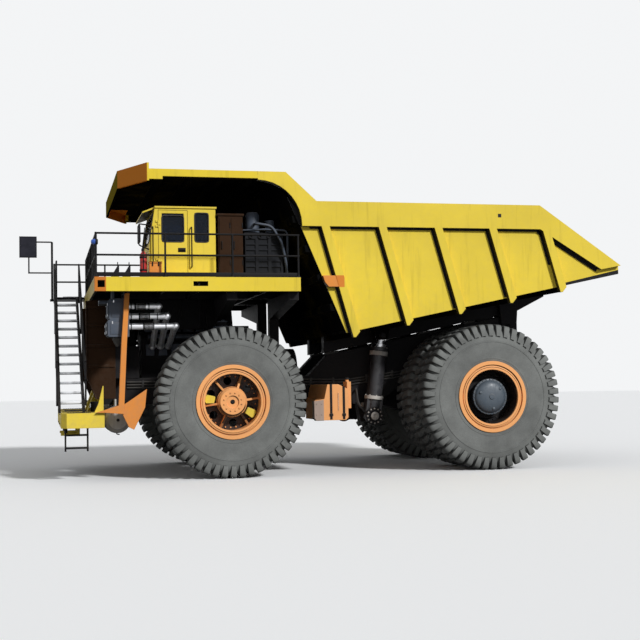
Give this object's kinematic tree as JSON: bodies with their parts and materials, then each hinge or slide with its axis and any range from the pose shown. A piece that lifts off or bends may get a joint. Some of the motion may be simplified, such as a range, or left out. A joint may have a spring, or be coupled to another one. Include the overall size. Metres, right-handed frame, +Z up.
{
  "type": "rigid mining dump truck",
  "caption": "Rigid mining dump truck with a canopied tipping bed on twin hoist cylinders, steered front wheels, twin rear wheels, cab with a door, deck, handrails and diagonal front stairs.",
  "frame": {"origin": "on the ground, on the centre line, at the middle of the overall length", "axes": "+X forward, +Y to the driver's left, +Z up"},
  "size_m": [14.84, 7.37, 7.34],
  "materials": {
    "yellow_paint": "satin industrial paint, dusty",
    "orange_paint": "satin industrial paint, dusty",
    "dark_paint": "satin dark paint, dusty and oily",
    "grey_paint": "satin blue-grey paint",
    "brown_paint": "satin brown paint",
    "tyre": "dusty black rubber",
    "pad_rubber": "black rubber",
    "rod_chrome": "hard chrome",
    "pipe_metal": "bare bright metal",
    "cab_glass": "tinted safety glass",
    "cab_trim": "grained dark trim",
    "mirror_glass": "mirror glass",
    "lamp_lens": "clear lamp lens",
    "signal_red": "glossy red",
    "signal_blue": "glossy blue"
  },
  "bodies": {
    "chassis": {"frame_rails": "dark_paint", "front_collar": "dark_paint", "cross_members": "dark_paint", "deck_arms": "dark_paint", "bumper": "yellow_paint", "suspension_struts": "dark_paint", "rear_axle": "dark_paint", "bed_pads": "pad_rubber", "engine_block": "dark_paint", "radiator": "dark_paint", "grille_guard": "dark_paint", "fuel_tank": "orange_paint", "hydraulic_tank": "dark_paint", "air_tanks": "grey_paint", "deck_left": "yellow_paint", "deck_centre": "yellow_paint", "deck_right": "yellow_paint", "fender_posts": "orange_paint", "air_cleaners": "grey_paint", "intake_pipes": "pipe_metal", "headlamps": "dark_paint", "handrails": "dark_paint", "front_stairs": "dark_paint", "stair_rails": "dark_paint", "bottom_ladder": "dark_paint", "far_mirror": "dark_paint", "cab_shell": "yellow_paint", "cab_glass": "cab_glass", "cab_interior": "cab_trim", "control_cabinet": "brown_paint", "grid_box": "yellow_paint"},
    "cab_door": {"cab_door": "yellow_paint", "door_glass": "cab_glass"},
    "knuckle_left": {"knuckle_left": "dark_paint"},
    "knuckle_right": {"knuckle_right": "dark_paint"},
    "tie_rod": {"tie_rod": "dark_paint"},
    "steer_barrel_left": {"steer_barrel_left": "dark_paint"},
    "steer_barrel_right": {"steer_barrel_right": "dark_paint"},
    "steer_rod_left": {"steer_rod_left": "rod_chrome"},
    "steer_rod_right": {"steer_rod_right": "rod_chrome"},
    "wheel_front_left": {"front_tyre_left": "tyre", "front_rim_left": "orange_paint"},
    "wheel_front_right": {"front_tyre_right": "tyre", "front_rim_right": "orange_paint"},
    "wheels_rear_left": {"rear_tyres_left": "tyre", "rear_rims_left": "orange_paint"},
    "wheels_rear_right": {"rear_tyres_right": "tyre", "rear_rims_right": "orange_paint"},
    "hoist_barrel": {"hoist_barrels": "dark_paint"},
    "hoist_stage": {"hoist_stages": "rod_chrome"},
    "hoist_rod": {"hoist_rods": "rod_chrome"},
    "bed": {"bed_floor": "yellow_paint", "bed_beams": "yellow_paint", "bed_sides": "yellow_paint", "bed_front_wall": "yellow_paint", "bed_canopy": "yellow_paint"}
  },
  "joints": [
    {"name": "steer_left", "type": "hinge", "parent": "chassis", "child": "knuckle_left", "pos_m": [2.46, 1.9, 1.79], "axis": [0, 0, 1], "range_deg": [-30, 30]},
    {"name": "steer_right", "type": "hinge", "parent": "chassis", "child": "knuckle_right", "pos_m": [2.46, -1.9, 1.79], "axis": [0, 0, 1], "range_deg": [-30, 30]},
    {"name": "tie_rod_pivot", "type": "hinge", "parent": "knuckle_left", "child": "tie_rod", "pos_m": [1.51, 1.9, 1.44], "axis": [0, 0, 1], "range_deg": [-30, 30]},
    {"name": "steer_barrel_left_swing", "type": "hinge", "parent": "chassis", "child": "steer_barrel_left", "pos_m": [1.96, 0.4, 1.44], "axis": [0, 0, 1], "range_deg": [-3, 3]},
    {"name": "steer_rod_left_slide", "type": "slide", "parent": "steer_barrel_left", "child": "steer_rod_left", "axis": [0, 1, 0], "range_m": [-0.26, 0.26]},
    {"name": "steer_barrel_right_swing", "type": "hinge", "parent": "chassis", "child": "steer_barrel_right", "pos_m": [1.96, -0.4, 1.44], "axis": [0, 0, 1], "range_deg": [-3, 3]},
    {"name": "steer_rod_right_slide", "type": "slide", "parent": "steer_barrel_right", "child": "steer_rod_right", "axis": [0, -1, 0], "range_m": [-0.26, 0.26]},
    {"name": "front_left_spin", "type": "hinge", "parent": "knuckle_left", "child": "wheel_front_left", "pos_m": [2.46, 2.83, 1.79], "axis": [0, 1, 0], "continuous": true},
    {"name": "front_right_spin", "type": "hinge", "parent": "knuckle_right", "child": "wheel_front_right", "pos_m": [2.46, -2.83, 1.79], "axis": [0, 1, 0], "continuous": true},
    {"name": "rear_left_spin", "type": "hinge", "parent": "chassis", "child": "wheels_rear_left", "pos_m": [-3.94, 2.4, 1.79], "axis": [0, 1, 0], "continuous": true},
    {"name": "rear_right_spin", "type": "hinge", "parent": "chassis", "child": "wheels_rear_right", "pos_m": [-3.94, -2.4, 1.79], "axis": [0, 1, 0], "continuous": true},
    {"name": "cab_door_hinge", "type": "hinge", "parent": "chassis", "child": "cab_door", "pos_m": [4.132, 2.916, 5.5], "axis": [0, 0, 1], "range_deg": [-60, 0]},
    {"name": "bed_tip", "type": "hinge", "parent": "chassis", "child": "bed", "pos_m": [-5.44, 0, 3.56], "axis": [0, -1, 0], "range_deg": [0, 45]},
    {"name": "hoist_swing", "type": "hinge", "parent": "chassis", "child": "hoist_barrel", "pos_m": [-1.48, 0, 1.33], "axis": [0, -1, 0], "range_deg": [0, 8]},
    {"name": "hoist_stage_slide", "type": "slide", "parent": "hoist_barrel", "child": "hoist_stage", "axis": [-0.1342, 0, 0.991], "range_m": [0, 1.41]},
    {"name": "hoist_rod_slide", "type": "slide", "parent": "hoist_stage", "child": "hoist_rod", "axis": [-0.1342, 0, 0.991], "range_m": [0, 1.41]}
  ],
  "couplings": [
    {"joint": "steer_right", "follows": "steer_left", "ratio": 1},
    {"joint": "tie_rod_pivot", "follows": "steer_left", "ratio": -1},
    {"joint": "steer_barrel_left_swing", "follows": "steer_left", "ratio": -0.068},
    {"joint": "steer_rod_left_slide", "follows": "steer_left", "m_per_rad": -0.4775},
    {"joint": "steer_barrel_right_swing", "follows": "steer_left", "ratio": -0.068},
    {"joint": "steer_rod_right_slide", "follows": "steer_left", "m_per_rad": 0.4775},
    {"joint": "hoist_swing", "follows": "bed_tip", "ratio": 0.15663},
    {"joint": "hoist_stage_slide", "follows": "bed_tip", "m_per_rad": 1.7774},
    {"joint": "hoist_rod_slide", "follows": "bed_tip", "m_per_rad": 1.7774}
  ]
}
